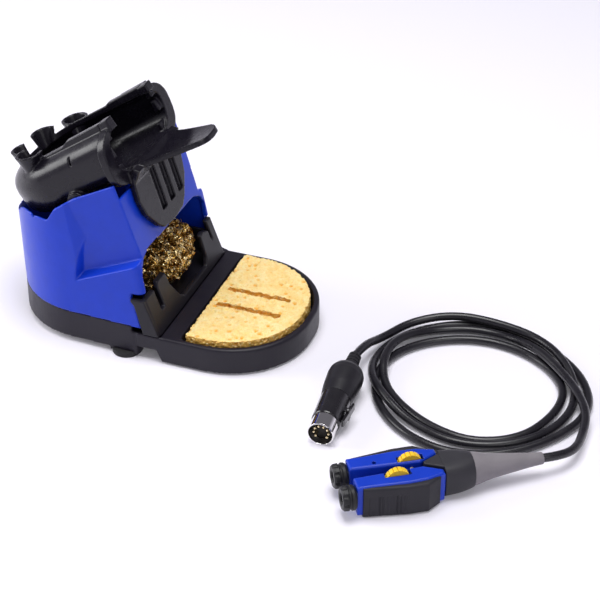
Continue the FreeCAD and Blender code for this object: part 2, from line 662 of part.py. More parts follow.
def section_ring(half_y, half_z, centre_z, power, x):
    curve = half_superellipse(half_y, half_z, centre_z, power)
    ring = Part.Wire([curve, mirror_y(curve)])
    ring.translate(Vector(x, 0, 0))
    return ring


def yoke():
    """Block at the rear of the handpiece that carries both arms."""
    rings = [section_ring(9.3, 8.5, 9.5, 4.5, 47.2), section_ring(9.5, 8.5, 9.5, 3.6, 52),
             section_ring(9.2, 8.4, 9.5, 2.8, 57.5), section_ring(8.1, 8.1, 9.5, 2.2, 62)]
    solid = Part.makeLoft(rings, True, False)
    wedge = prism(polyline([(38.8, -0.9), (48.5, -5.9), (48.5, 5.9), (38.8, 0.9)]), 2.6, 17.5)
    wedge = rounded(wedge, 0.7, lambda e: middle_of(e).x < 48 and e.Length > 6)
    solid = solid.fuse(wedge)
    for side in SIDES:
        solid = solid.cut(sided(block((43.5, 2.4, 4.7), (51.9, 8.6, 14.3)), side))
        solid = solid.cut(rod(size("arm_pin_radius"), (48.5, side * 5.4, 3.0), (48.5, side * 5.4, 16.0)))
    return solid


def strain_relief():
    body = add_body("strain_relief", HAND * Placement(Vector(0, 0, 9.5), Rotation()))
    add_turning(body, [(62, 0), (62, 8.1), (64.5, 7.7), (68, 6.7), (72, 5.9), (80, 4.8), (90, 3.5), (96.6, 2.9),
                       (97, 2.6), (97, 0)])


def opening_spring():
    """Coil that pushes the two arms apart; it rests on the bottom of the near arm's pocket."""
    length, pitch, radius, wire_radius = 7.6, 1.5, 1.7, 0.28
    helix = Part.makeHelix(pitch, length, radius)
    ring = Part.Wire([Part.makeCircle(wire_radius, Vector(radius, 0, 0), Vector(0, 1, 0))])
    coil = Part.Wire(helix).makePipeShell([ring], True, True)
    coil.rotate(Vector(0, 0, 0), AXIS_U, -90)
    coil.translate(Vector(SPRING_AT[0], -5.0 + wire_radius, SPRING_AT[1]))
    return coil


def handpiece():
    pin_place = [HAND * Placement(Vector(48.5, side * 5.4, 9.5), Rotation()) for side in SIDES]
    for side, word in ((-1, "near"), (1, "far")):
        add_feature(word + "_arm", arm(side), HAND)
        add_feature(word + "_grip", grip(side), HAND)
        wheel(side)
        x, y, z = WHEEL_AT[side]
        straight_pin(word + "_axle", HAND * Placement(Vector(x, side * y, z), Rotation()),
                     "axle_radius", "axle_length", "XZ_Plane")
        socket(side)
        nose(side)
        straight_pin(word + "_arm_pin", pin_place[(side + 1) // 2], "arm_pin_radius", "arm_pin_length")
    add_feature("stop_pin", rod(0.9, (33, -3.6, 15.3), (33, -0.5, 15.3)), HAND)
    add_feature("opening_spring", opening_spring(), HAND)
    add_feature("yoke", yoke(), HAND)
    strain_relief()


# ---------------------------------------------------------------- plug (x runs from the contact end to the cord)
LATCH_PIVOT = (18.0, -8.8)
CONTACT_RING = 3.7
CONTACT_COUNT = 8


def contact_spots():
    """Contacts on an arc of 262 degrees, open at the bottom."""
    start, sweep = math.radians(-41), math.radians(262)
    turns = [start + sweep * index / (CONTACT_COUNT - 1) for index in range(CONTACT_COUNT)]
    return [(CONTACT_RING * math.cos(turn), CONTACT_RING * math.sin(turn)) for turn in turns]


def plug_contacts():
    radius = size("plug_pin_radius")
    pins = []
    for y, z in contact_spots():
        pin = rod(radius, (1.6, y, z), (11.0, y, z))
        tip = Part.makeSphere(radius, Vector(1.6, y, z))
        pins.append(pin.fuse(tip).removeSplitter())
    add_feature("plug_pins", Part.makeCompound(pins), PLUG)


def plug_barrel():
    outline = [(9, 6.3), (9, 6.9), (9.5, 7.15), (27, 7.45), (27, 0), (14, 0), (14, 6.3)]
    corners = [Vector(x, 0, radius) for x, radius in outline]
    solid = Part.Face(Part.makePolygon(corners + corners[:1])).revolve(Vector(0, 0, 0), AXIS_U, 360)
    x, y = LATCH_PIVOT
    for side in SIDES:
        ear = block((x - 1.3, y - 0.9, 2.2), (x + 1.3, -5.0, 3.0))
        solid = solid.fuse(ear if side > 0 else ear.mirror(Vector(0, 0, 0), AXIS_Z))
    solid = solid.cut(rod(14, (-1, 0, 0), (9, 0, 0)))
    solid = solid.cut(rod(6.3, (9, 0, 0), (14, 0, 0)))
    return solid.cut(rod(0.5, (x, y, -3), (x, y, 3)))


def plug_latch():
    """Thumb lever that rocks on its pin."""
    x, y = LATCH_PIVOT
    outline = [(10.2, -7.65), (10.2, -8.5), (12.0, -9.1), (24.0, -10.4), (25.0, -10.0), (24.6, -9.3),
               (19.5, -8.15), (16.0, -7.95)]
    lever = prism(polyline(outline), -1.8, 1.8)
    return lever.cut(rod(0.55, (x, y, -3), (x, y, 3)))


def plug():
    shell = add_body("plug_shell", PLUG)
    radius = size("plug_shell_radius")
    add_turning(shell, [(0, radius - 0.5), (0.3, radius), (8.9, radius), (8.9, radius - 0.3), (14, radius - 0.3),
                        (14, radius - 0.6), (0.2, radius - 0.6)])
    insert = add_body("plug_insert", PLUG)
    add_turning(insert, [(4.6, 0), (4.6, 5.6), (5.0, 5.95), (13.0, 5.95), (13.0, 0)])
    holes = [circle(y, z, size("plug_pin_radius"))[0] for y, z in contact_spots()]
    hole_sketch = add_sketch(insert, "YZ_Plane", holes, 11.0)
    add_pocket(insert, hole_sketch, 8.0)
    plug_contacts()
    add_feature("plug_barrel", plug_barrel(), PLUG)
    bulb = add_body("plug_grip", PLUG)
    add_turning(bulb, [(27, 0), (27, 7.6), (29, 7.9), (34, 8.6), (39, 8.9), (43.5, 9.15), (46.5, 8.9), (48.6, 8.0),
                       (50.2, 6.2), (51, 4.1), (51, 0)])
    boot = add_body("plug_boot", PLUG)
    ribs = [(51, 0)]
    for index in range(5):
        start = 51 + 2.4 * index
        top = 3.9 - 0.16 * index
        ribs += [(start, top), (start + 1.5, top), (start + 1.5, top - 0.6), (start + 2.4, top - 0.6)]
    add_turning(boot, ribs + [(63, 0)])
    add_feature("plug_latch", plug_latch(), PLUG)
    x, y = LATCH_PIVOT
    add_feature("latch_pin", rod(0.5, (x, y, -3), (x, y, 3)), PLUG)


# ---------------------------------------------------------------- cord
ROUTE = [
    (204.6, -65.0, 9.5), (211.3, -60.5, 9.3), (217.0, -50.5, 7.4), (217.0, -36.0, 5.4), (215.5, -21.0, 6.9),
    (207.5, -5.5, 7.0), (195.0, 9.5, 7.0), (178.0, 25.0, 6.9), (160.0, 36.0, 2.4), (140.0, 36.5, 2.2),
    (120.5, 27.0, 2.3), (109.0, 9.0, 7.1), (107.5, -10.0, 7.1), (113.5, -26.5, 3.0), (127.0, -40.0, 2.2),
    (146.0, -51.5, 2.2), (168.0, -56.0, 2.2), (189.0, -45.0, 2.2), (199.5, -22.0, 2.2), (200.0, 0.5, 2.2),
    (187.5, 17.0, 2.2), (168.0, 27.5, 2.2), (146.0, 29.0, 2.2), (124.5, 19.5, 2.2), (109.5, 2.0, 2.2),
    (106.5, -21.0, 2.2), (115.0, -42.0, 2.2), (133.0, -60.0, 2.2), (158.5, -68.5, 2.2), (184.0, -61.0, 2.2),
    (205.5, -39.0, 2.2), (216.0, -12.0, 2.2), (206.0, 14.0, 2.2), (184.5, 33.0, 2.2), (158.5, 43.5, 2.2),
    (131.5, 39.0, 2.2), (109.5, 20.0, 2.2), (101.5, -3.0, 2.6), (106.0, -26.0, 6.9), (118.0, -40.5, 6.6),
    (135.0, -51.5, 2.2), (161.0, -60.5, 2.2), (187.0, -51.5, 2.2), (204.5, -29.5, 2.2), (207.0, -3.0, 2.2),
    (196.5, 16.5, 7.0), (179.0, 33.0, 7.0), (156.0, 39.5, 7.1), (131.0, 39.5, 7.2), (110.5, 29.5, 4.5),
    (100.5, 9.5, 4.2), (96.3, -6.5, 9.6), (95.6, -18.3, 10.4),
]


def cord_path(points):
    """Straight runs joined by tangent arcs; returns the wire and the arc radii."""
    corners = [Vector(*point) for point in points]
    edges, radii, last = [], [], corners[0]
    for before, corner, after in zip(corners, corners[1:], corners[2:]):
        inward, outward = before - corner, after - corner
        run = 0.45 * min(inward.Length, outward.Length)
        turn = math.pi - inward.getAngle(outward)
        radii.append(run / math.tan(turn / 2))
        inward.normalize()
        outward.normalize()
        start, end = corner + inward * run, corner + outward * run
        bisector = inward + outward
        bisector.normalize()
        depth = radii[-1] * (1 / math.cos(turn / 2) - 1)
        edges.append(Part.makeLine(last, start))
        edges.append(Part.Arc(start, corner + bisector * depth, end).toShape())
        last = end
    edges.append(Part.makeLine(last, corners[-1]))
    return Part.Wire(edges), radii


def cord():
    path, radii = cord_path(ROUTE)
    radius = size("cord_diameter") / 2
    heading = Vector(*ROUTE[1]) - Vector(*ROUTE[0])
    ring = Part.Wire([Part.makeCircle(radius, Vector(*ROUTE[0]), heading)])
    tube = path.makePipeShell([ring], True, True)
    share = tube.Volume / (math.pi * radius ** 2 * path.Length)
    print("cord length %.1f, smallest radii %s, volume share %.3f"
          % (path.Length, [round(value, 1) for value in sorted(radii)[:4]], share))
    return tube


# ---------------------------------------------------------------- build, check and write
base_tray()
rubber_feet()
ballast_plate()
housing_screws()
add_feature("housing", housing(), STAND)
add_feature("wool_case", wool_case(), STAND)
add_feature("brass_wool", brass_wool(), STAND)
sponge()
add_feature("trough", trough(), RECEPTACLE)
front = receptacle_front()
add_feature("receptacle_front", front.fuse(apron()), RECEPTACLE)
tilt_pivots()
handpiece()
plug()
add_feature("cord", cord(), STAND)
doc.recompute()

os.makedirs("parts", exist_ok=True)
for node in nodes:
    shape = node.Shape
    faults = [state for state in node.State if state in ("Invalid", "Error")]
    if faults or shape.isNull() or not shape.isValid():
        raise RuntimeError("%s is not sound: %s" % (node.Label, faults))
    shape.exportStep("parts/%s.step" % node.Label)
    box = shape.BoundBox
    print("%-18s solids %2d volume %9.1f  x %7.1f %7.1f  y %7.1f %7.1f  z %6.1f %6.1f" % (
        node.Label, len(shape.Solids), shape.Volume, box.XMin, box.XMax, box.YMin, box.YMax, box.ZMin, box.ZMax))
print("%d nodes" % len(nodes))
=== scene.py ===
import json
import math
import random

import bpy
import numpy as np
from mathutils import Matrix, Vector, noise


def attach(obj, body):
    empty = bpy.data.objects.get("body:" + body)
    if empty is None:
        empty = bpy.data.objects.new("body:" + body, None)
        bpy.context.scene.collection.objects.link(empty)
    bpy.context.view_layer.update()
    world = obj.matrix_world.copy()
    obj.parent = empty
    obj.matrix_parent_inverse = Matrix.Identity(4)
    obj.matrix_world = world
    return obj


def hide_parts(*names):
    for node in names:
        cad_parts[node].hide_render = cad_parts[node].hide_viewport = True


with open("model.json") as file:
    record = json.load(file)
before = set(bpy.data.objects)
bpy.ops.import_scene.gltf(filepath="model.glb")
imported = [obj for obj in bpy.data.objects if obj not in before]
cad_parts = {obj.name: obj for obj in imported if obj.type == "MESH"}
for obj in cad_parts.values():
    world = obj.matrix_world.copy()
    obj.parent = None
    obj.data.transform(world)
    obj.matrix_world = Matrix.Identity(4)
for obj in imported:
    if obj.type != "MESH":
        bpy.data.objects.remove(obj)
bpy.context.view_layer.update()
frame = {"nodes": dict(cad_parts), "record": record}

# The stand's own origin in the row frame, in millimetres. Places below are given in the stand's own frame.
STAND_X, STAND_Y = -55.09, 41.82


def metres(x, y, z):
    """A point of the stand's own frame (mm) in the row frame (m)."""
    return Vector(((x + STAND_X) / 1000, (y + STAND_Y) / 1000, z / 1000))


# ---------------------------------------------------------------- camera
CAMERA_ELEVATION, CAMERA_AZIMUTH = math.radians(33.6), math.radians(20.5)
CAMERA_TARGET = (46.4, 33.8, 0)
CAMERA_DISTANCE = 1.046
CAMERA_LENS = 117.6


def add_camera():
    elevation, azimuth = CAMERA_ELEVATION, CAMERA_AZIMUTH
    back = Vector((math.sin(azimuth) * math.cos(elevation), -math.cos(azimuth) * math.cos(elevation),
                   math.sin(elevation)))
    camera = bpy.data.objects.new("camera", bpy.data.cameras.new("camera"))
    camera.data.lens = CAMERA_LENS
    camera.data.sensor_width = 36.0
    camera.data.clip_start = 0.01
    camera.location = metres(*CAMERA_TARGET) + back * CAMERA_DISTANCE
    camera.rotation_euler = (-back).to_track_quat("-Z", "Y").to_euler()
    bpy.context.scene.collection.objects.link(camera)
    bpy.context.scene.camera = camera


add_camera()


# ---------------------------------------------------------------- cord
CORD_DIAMETER = 0.0043
ROUTE = [
    (204.6, -65.0, 9.5), (211.3, -60.5, 9.3), (217.0, -50.5, 7.4), (217.0, -36.0, 5.4), (215.5, -21.0, 6.9),
    (207.5, -5.5, 7.0), (195.0, 9.5, 7.0), (178.0, 25.0, 6.9), (160.0, 36.0, 2.4), (140.0, 36.5, 2.2),
    (120.5, 27.0, 2.3), (109.0, 9.0, 7.1), (107.5, -10.0, 7.1), (113.5, -26.5, 3.0), (127.0, -40.0, 2.2),
    (146.0, -51.5, 2.2), (168.0, -56.0, 2.2), (189.0, -45.0, 2.2), (199.5, -22.0, 2.2), (200.0, 0.5, 2.2),
    (187.5, 17.0, 2.2), (168.0, 27.5, 2.2), (146.0, 29.0, 2.2), (124.5, 19.5, 2.2), (109.5, 2.0, 2.2),
    (106.5, -21.0, 2.2), (115.0, -42.0, 2.2), (133.0, -60.0, 2.2), (158.5, -68.5, 2.2), (184.0, -61.0, 2.2),
    (205.5, -39.0, 2.2), (216.0, -12.0, 2.2), (206.0, 14.0, 2.2), (184.5, 33.0, 2.2), (158.5, 43.5, 2.2),
    (131.5, 39.0, 2.2), (109.5, 20.0, 2.2), (101.5, -3.0, 2.6), (106.0, -26.0, 6.9), (118.0, -40.5, 6.6),
    (135.0, -51.5, 2.2), (161.0, -60.5, 2.2), (187.0, -51.5, 2.2), (204.5, -29.5, 2.2), (207.0, -3.0, 2.2),
    (196.5, 16.5, 7.0), (179.0, 33.0, 7.0), (156.0, 39.5, 7.1), (131.0, 39.5, 7.2), (110.5, 29.5, 4.5),
    (100.5, 9.5, 4.2), (96.3, -6.5, 9.6), (95.6, -18.3, 10.4),
]


def add_cord():
    data = bpy.data.curves.new("cord_run", "CURVE")
    data.dimensions = "3D"
    data.bevel_depth = 1.0  # each point's own radius scales it
    data.bevel_resolution = 6
    data.resolution_u = 12
    data.use_fill_caps = True
    spline = data.splines.new("NURBS")
    spline.points.add(len(ROUTE) - 1)
    for point, place in zip(spline.points, ROUTE):
        point.co = (*metres(*place), 1)
        point.radius = CORD_DIAMETER / 2
    spline.order_u = 3
    spline.use_endpoint_u = True
    run = bpy.data.objects.new("cord_run", data)
    bpy.context.scene.collection.objects.link(run)
    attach(run, "handpiece")
    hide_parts("cord")
    return run


cord_run = add_cord()


# ---------------------------------------------------------------- node helpers
def add_node(tree, kind, **settings):
    """A node with its inputs, or its own properties, set by name."""
    node = tree.nodes.new(kind)
    for key, value in settings.items():
        if key in node.inputs:
            node.inputs[key].default_value = value
        else:
            setattr(node, key, value)
    return node


def ramp(tree, source, low, high, low_at, high_at):
    """Maps low_at..high_at of the source to low..high, and clamps outside it."""
    node = add_node(tree, "ShaderNodeMapRange")
    node.inputs["From Min"].default_value = low_at
    node.inputs["From Max"].default_value = high_at
    node.inputs["To Min"].default_value = low
    node.inputs["To Max"].default_value = high
    tree.links.new(source, node.inputs["Value"])
    return node.outputs["Result"]


# ---------------------------------------------------------------- light and floor
def area_light(name, place, target, size, power):
    data = bpy.data.lights.new(name, "AREA")
    data.shape = "RECTANGLE"
    data.size, data.size_y = size
    data.energy = power
    lamp = bpy.data.objects.new(name, data)
    lamp.location = place
    lamp.rotation_euler = (Vector(target) - Vector(place)).to_track_quat("-Z", "Y").to_euler()
    bpy.context.scene.collection.objects.link(lamp)


def add_sky():
    """Lavender white at the horizon, dim overhead, so that level black faces stay dark."""
    world = bpy.data.worlds.new("studio")
    bpy.context.scene.world = world
    world.use_nodes = True
    sky = world.node_tree
    background = sky.nodes["Background"]
    background.inputs["Color"].default_value = (0.90, 0.87, 1.0, 1)
    height = add_node(sky, "ShaderNodeSeparateXYZ")
    sky.links.new(add_node(sky, "ShaderNodeTexCoord").outputs["Generated"], height.inputs["Vector"])
    sky.links.new(ramp(sky, height.outputs["Z"], 0.85, 0.16, 0.08, 0.42), background.inputs["Strength"])


FLOOR_SIZE = 6
FLOOR_DROP = 0.0002


def add_floor():
    bpy.ops.mesh.primitive_plane_add(size=FLOOR_SIZE, location=(0, 0, -FLOOR_DROP))
    floor = bpy.context.object
    floor.name = "floor"
    shade = bpy.data.materials.new("floor_white")
    shade.use_nodes = True
    surface = shade.node_tree.nodes["Principled BSDF"]
    surface.inputs["Base Color"].default_value = (0.80, 0.78, 0.85, 1)
    surface.inputs["Roughness"].default_value = 0.55
    surface.inputs["Specular IOR Level"].default_value = 0.15
    surface.inputs["Emission Color"].default_value = (0.97, 0.96, 1.0, 1)
    surface.inputs["Emission Strength"].default_value = 0.10
    floor.data.materials.append(shade)


def add_stage():
    bpy.context.scene.view_settings.view_transform = "Standard"
    add_sky()
    add_floor()
    area_light("top", (0.05, 0.0, 1.25), (0, 0, 0), (0.8, 0.8), 15.0)
    area_light("side", (-0.95, -0.15, 0.45), (-0.05, 0, 0.05), (0.5, 0.6), 7.0)
    area_light("fill", (0.75, -0.6, 0.7), (0, 0, 0.05), (0.6, 0.6), 2.0)


add_stage()


# ---------------------------------------------------------------- materials
def new_material(name):
    made = bpy.data.materials.new(name)
    made.use_nodes = True
    tree = made.node_tree
    return made, tree, tree.nodes["Principled BSDF"]


def moulded(name, color, roughness, grain=0.0005, depth=0.00004, edge=0.0004, coat=0.0, spread=0.06,
            shine=0.3):
    """Moulded plastic or rubber: fine grain, uneven gloss and slightly rounded edges."""
    made, tree, surface = new_material(name)
    place = add_node(tree, "ShaderNodeTexCoord").outputs["Object"]
    fine = add_node(tree, "ShaderNodeTexNoise", Scale=1 / grain, Detail=3.0)
    broad = add_node(tree, "ShaderNodeTexNoise", Scale=140.0, Detail=4.0)
    tree.links.new(place, fine.inputs["Vector"])
    tree.links.new(place, broad.inputs["Vector"])
    tree.links.new(ramp(tree, broad.outputs["Fac"], roughness - spread, roughness + spread, 0.3, 0.7),
                   surface.inputs["Roughness"])
    tint = add_node(tree, "ShaderNodeMixRGB")
    tint.inputs["Color1"].default_value = (*[c * 0.88 for c in color], 1)
    tint.inputs["Color2"].default_value = (*[min(1, c * 1.1) for c in color], 1)
    tree.links.new(broad.outputs["Fac"], tint.inputs["Fac"])
    tree.links.new(tint.outputs["Color"], surface.inputs["Base Color"])
    soft_edge = add_node(tree, "ShaderNodeBevel", Radius=edge, samples=6)
    bump = add_node(tree, "ShaderNodeBump", Strength=1.0, Distance=depth)
    tree.links.new(fine.outputs["Fac"], bump.inputs["Height"])
    tree.links.new(soft_edge.outputs["Normal"], bump.inputs["Normal"])
    tree.links.new(bump.outputs["Normal"], surface.inputs["Normal"])
    surface.inputs["Coat Weight"].default_value = coat
    surface.inputs["Coat Roughness"].default_value = 0.12
    surface.inputs["Specular IOR Level"].default_value = shine
    return made


def metal(name, color, roughness, edge=0.0002, streak=900.0, depth=0.00001):
    """Bare or plated metal with faint marks."""
    made, tree, surface = new_material(name)
    place = add_node(tree, "ShaderNodeTexCoord").outputs["Object"]
    marks = add_node(tree, "ShaderNodeTexNoise", Scale=streak, Detail=5.0, Distortion=0.6)
    tree.links.new(place, marks.inputs["Vector"])
    tree.links.new(ramp(tree, marks.outputs["Fac"], roughness * 0.6, roughness * 1.5, 0.3, 0.7),
                   surface.inputs["Roughness"])
    soft_edge = add_node(tree, "ShaderNodeBevel", Radius=edge, samples=6)
    bump = add_node(tree, "ShaderNodeBump", Strength=1.0, Distance=depth)
    tree.links.new(marks.outputs["Fac"], bump.inputs["Height"])
    tree.links.new(soft_edge.outputs["Normal"], bump.inputs["Normal"])
    tree.links.new(bump.outputs["Normal"], surface.inputs["Normal"])
    surface.inputs["Base Color"].default_value = (*color, 1)
    surface.inputs["Metallic"].default_value = 1.0
    return made


def mix_colors(tree, factor, first, second):
    """Blend of two colours, each a tuple or a colour output."""
    mix = add_node(tree, "ShaderNodeMixRGB")
    for socket, value in (("Color1", first), ("Color2", second)):
        if isinstance(value, tuple):
            mix.inputs[socket].default_value = (*value, 1)
        else:
            tree.links.new(value, mix.inputs[socket])
    tree.links.new(factor, mix.inputs["Fac"])
    return mix.outputs["Color"]


def foam(name):
    """Yellow sponge: pale face, with painted shade, in orange, in the pores and down the sides."""
    made, tree, surface = new_material(name)
    place = add_node(tree, "ShaderNodeTexCoord").outputs["Object"]
    pit = add_node(tree, "ShaderNodeAttribute", attribute_name="pit").outputs["Fac"]
    patches = add_node(tree, "ShaderNodeTexNoise", Scale=260.0, Detail=4.0)
    pores = add_node(tree, "ShaderNodeTexVoronoi", Scale=900.0)
    facing = add_node(tree, "ShaderNodeSeparateXYZ")
    for node in (patches, pores):
        tree.links.new(place, node.inputs["Vector"])
    tree.links.new(add_node(tree, "ShaderNodeNewGeometry").outputs["True Normal"], facing.inputs["Vector"])
    patchy = ramp(tree, patches.outputs["Fac"], 0, 1, 0.35, 0.65)
    pale = mix_colors(tree, patchy, (0.93, 0.66, 0.25), (0.96, 0.77, 0.38))
    # Painted shade: darker orange where the pores are deep (the pit depth).
    pit_shaded = mix_colors(tree, ramp(tree, pit, 0, 1, 0.3, 0.95), pale, (0.84, 0.43, 0.05))
    # Painted shade: darker orange dots at the pore centres.
    pore_shade_mask = ramp(tree, pores.outputs["Distance"], 0.55, 0, 0.05, 0.35)
    pore_shaded = mix_colors(tree, pore_shade_mask, pit_shaded, (0.84, 0.50, 0.12))
    # Painted shade: faces that turn away from the top are darker orange.
    side_shaded = mix_colors(tree, ramp(tree, facing.outputs["Z"], 0.85, 0, 0.1, 0.75), pore_shaded, (0.83, 0.44, 0.06))
    tree.links.new(side_shaded, surface.inputs["Base Color"])
    tree.links.new(ramp(tree, patches.outputs["Fac"], 0.8, 0.98, 0.3, 0.7), surface.inputs["Roughness"])
    bump = add_node(tree, "ShaderNodeBump", Strength=0.8, Distance=0.0003)
    tree.links.new(pores.outputs["Distance"], bump.inputs["Height"])
    tree.links.new(bump.outputs["Normal"], surface.inputs["Normal"])
    surface.inputs["Subsurface Weight"].default_value = 0.15
    surface.inputs["Subsurface Radius"].default_value = (0.004, 0.002, 0.0008)
    surface.inputs["Specular IOR Level"].default_value = 0.25
    return made


def ribbon_brass(name):
    """Bright brass ribbon; each curl has its own depth of colour."""
    made, tree, surface = new_material(name)
    place = add_node(tree, "ShaderNodeTexCoord").outputs["Object"]
    tint = add_node(tree, "ShaderNodeAttribute", attribute_name="tint").outputs["Fac"]
    marks = add_node(tree, "ShaderNodeTexNoise", Scale=1500.0, Detail=3.0)
    tree.links.new(place, marks.inputs["Vector"])
    brass = mix_colors(tree, tint, (0.42, 0.22, 0.04), (1.0, 0.84, 0.45))
    tree.links.new(brass, surface.inputs["Base Color"])
    tree.links.new(ramp(tree, marks.outputs["Fac"], 0.12, 0.34, 0.3, 0.7), surface.inputs["Roughness"])
    bump = add_node(tree, "ShaderNodeBump", Strength=0.6, Distance=0.0001)
    tree.links.new(marks.outputs["Fac"], bump.inputs["Height"])
    tree.links.new(bump.outputs["Normal"], surface.inputs["Normal"])
    surface.inputs["Metallic"].default_value = 1.0
    return made


LOOKS = {
    "black_base": moulded("black_base", (0.011, 0.009, 0.016), 0.42, depth=0.00003, edge=0.0006),
    "blue_shell": moulded("blue_shell", (0.004, 0.037, 0.48), 0.32, depth=0.000012, edge=0.0009, spread=0.04),
    "black_case": moulded("black_case", (0.009, 0.008, 0.012), 0.36, depth=0.00002, edge=0.0006),
    "black_receptacle": moulded("black_receptacle", (0.006, 0.005, 0.009), 0.26, depth=0.00002, edge=0.0007),
    "wool": ribbon_brass("wool"),
    "sponge_yellow": foam("sponge_yellow"),
    "rubber_black": moulded("rubber_black", (0.02, 0.02, 0.022), 0.7),
    "ballast_steel": metal("ballast_steel", (0.5, 0.5, 0.5), 0.4),
    "screw_steel": metal("screw_steel", (0.6, 0.6, 0.6), 0.3),
    "arm_blue": moulded("arm_blue", (0.004, 0.037, 0.45), 0.34, depth=0.000012, edge=0.0006, spread=0.04),
    "grip_rubber": moulded("grip_rubber", (0.018, 0.017, 0.023), 0.55, depth=0.00004, edge=0.0005),
    "wheel_yellow": moulded("wheel_yellow", (0.86, 0.56, 0.03), 0.4, depth=0.00001, edge=0.0002),
    "nose_black": moulded("nose_black", (0.014, 0.014, 0.016), 0.45, depth=0.00002, edge=0.0004),
    "yoke_black": moulded("yoke_black", (0.026, 0.025, 0.031), 0.5, depth=0.00003, edge=0.0006),
    "relief_grey": moulded("relief_grey", (0.20, 0.185, 0.20), 0.55, depth=0.00003, edge=0.0006),
    "sleeve_steel": metal("sleeve_steel", (0.62, 0.6, 0.56), 0.3),
    "cord_black": moulded("cord_black", (0.010, 0.009, 0.013), 0.30, depth=0.00001, edge=0.0001, shine=0.5),
    "plug_black": moulded("plug_black", (0.010, 0.009, 0.012), 0.24, depth=0.000006, edge=0.0004, coat=0.3,
                          shine=0.5),
    "plug_grip_black": moulded("plug_grip_black", (0.014, 0.013, 0.017), 0.42, depth=0.00003, edge=0.0004),
    "plug_chrome": metal("plug_chrome", (0.86, 0.85, 0.84), 0.1),
    "insert_black": moulded("insert_black", (0.02, 0.017, 0.014), 0.5),
    "contact_metal": metal("contact_metal", (0.85, 0.72, 0.45), 0.2),
}


def dress(obj, slot_name):
    obj.data.materials.clear()
    obj.data.materials.append(LOOKS[slot_name])


# ---------------------------------------------------------------- mesh helpers
def node_mesh(name):
    """The CAD mesh of a node in the row frame, as a new datablock."""
    source = frame["nodes"][name]
    mesh = bpy.data.meshes.new_from_object(source)
    mesh.transform(source.matrix_world)
    return mesh


def add_piece(name, mesh, body, slot_name, *replaced):
    piece = bpy.data.objects.new(name, mesh)
    bpy.context.scene.collection.objects.link(piece)
    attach(piece, body)
    if replaced:
        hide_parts(*replaced)
    dress(piece, slot_name)
    return piece


def modified(mesh, kind, **settings):
    """The mesh after one modifier, as a new datablock."""
    carrier = bpy.data.objects.new("carrier", mesh)
    bpy.context.scene.collection.objects.link(carrier)
    modifier = carrier.modifiers.new("change", kind)
    for key, value in settings.items():
        setattr(modifier, key, value)
    result = bpy.data.meshes.new_from_object(carrier.evaluated_get(bpy.context.evaluated_depsgraph_get()))
    bpy.data.objects.remove(carrier)
    return result


def remeshed(mesh, voxel):
    """Even quads over the same closed surface."""
    return modified(mesh, "REMESH", mode="VOXEL", voxel_size=voxel)


def points_of(mesh):
    flat = np.empty(len(mesh.vertices) * 3, dtype=np.float32)
    mesh.vertices.foreach_get("co", flat)
    return flat.reshape(-1, 3).astype(np.float64)


def set_points(mesh, points):
    mesh.vertices.foreach_set("co", points.astype(np.float32).ravel())
    mesh.update()


def relax(mesh, rounds):
    """Smoothing that keeps the volume: a step in and a slightly longer step out, round after round."""
    pairs = np.empty(len(mesh.edges) * 2, dtype=np.int32)
    mesh.edges.foreach_get("vertices", pairs)
    first, second = pairs.reshape(-1, 2).T
    points = points_of(mesh)
    count = len(points)
    degree = np.maximum(np.bincount(first, minlength=count) + np.bincount(second, minlength=count), 1)
    for step in [0.5, -0.51] * rounds:
        for axis in range(3):
            column = points[:, axis]
            total = (np.bincount(first, weights=column[second], minlength=count)
                     + np.bincount(second, weights=column[first], minlength=count))
            points[:, axis] = column + step * (total / degree - column)
    set_points(mesh, points)


def smooth_faces(mesh):
    mesh.polygons.foreach_set("use_smooth", [True] * len(mesh.polygons))


def moulded_copy(name, body, slot_name, voxel, rounds, share):
    """A moulded part with the small radii that a mould gives its edges."""
    mesh = remeshed(node_mesh(name), voxel)
    relax(mesh, rounds)
    mesh = modified(mesh, "DECIMATE", ratio=share)
    smooth_faces(mesh)
    return add_piece(name + "_moulding", mesh, body, slot_name, name)


# ---------------------------------------------------------------- sponge
SLIT_ROWS = (-8.2, 6.8)
SLIT_ENDS = (15.8, 51.6)
BIG_PORE, SMALL_PORE = 3.1, 1.35
SPONGE_VOXEL = 0.00048


def slit_shift(place):
    """How far a point (mm, row frame) moves across, in metres, so that the slits are wide and ragged."""
    shift = 0.0
    row = place.y - STAND_Y
    for slit in SLIT_ROWS:
        if SLIT_ENDS[0] < place.x - STAND_X < SLIT_ENDS[1] and place.z > 8 and abs(row - slit) < 1.6:
            outward = 1 if row > slit else -1
            shift += 0.0004 * outward * (0.6 + noise.noise(Vector((place.x, slit, 4))))
        near = max(0.0, 1 - abs(row - slit) / 5.0)
        shift += near * 0.0013 * noise.noise(Vector((place.x * 0.3, slit, 0)))
    return shift


def pore_depth(place, up):
    """Depth of the sponge's surface below its CAD face, in millimetres."""
    gaps, centres = noise.voronoi(place / BIG_PORE)
    big = 0.17 + 0.30 * noise.cell(centres[0] * 7.3)
    hole = max(0.0, 1 - gaps[0] / big) if big > 0.16 else 0.0
    gaps, centres = noise.voronoi(place / SMALL_PORE)
    small = max(0.0, 1 - gaps[0] / (0.12 + 0.3 * noise.cell(centres[0] * 5.1)))
    ragged = noise.fractal(place / 2.2, 1.0, 2.0, 3)
    edge = 1.0 if up > 0.85 else 1.8
    return 1.25 * min(1.0, hole * 2.0) + 0.42 * min(1.0, small * 2.0) + 0.20 * edge * (ragged + 0.5)


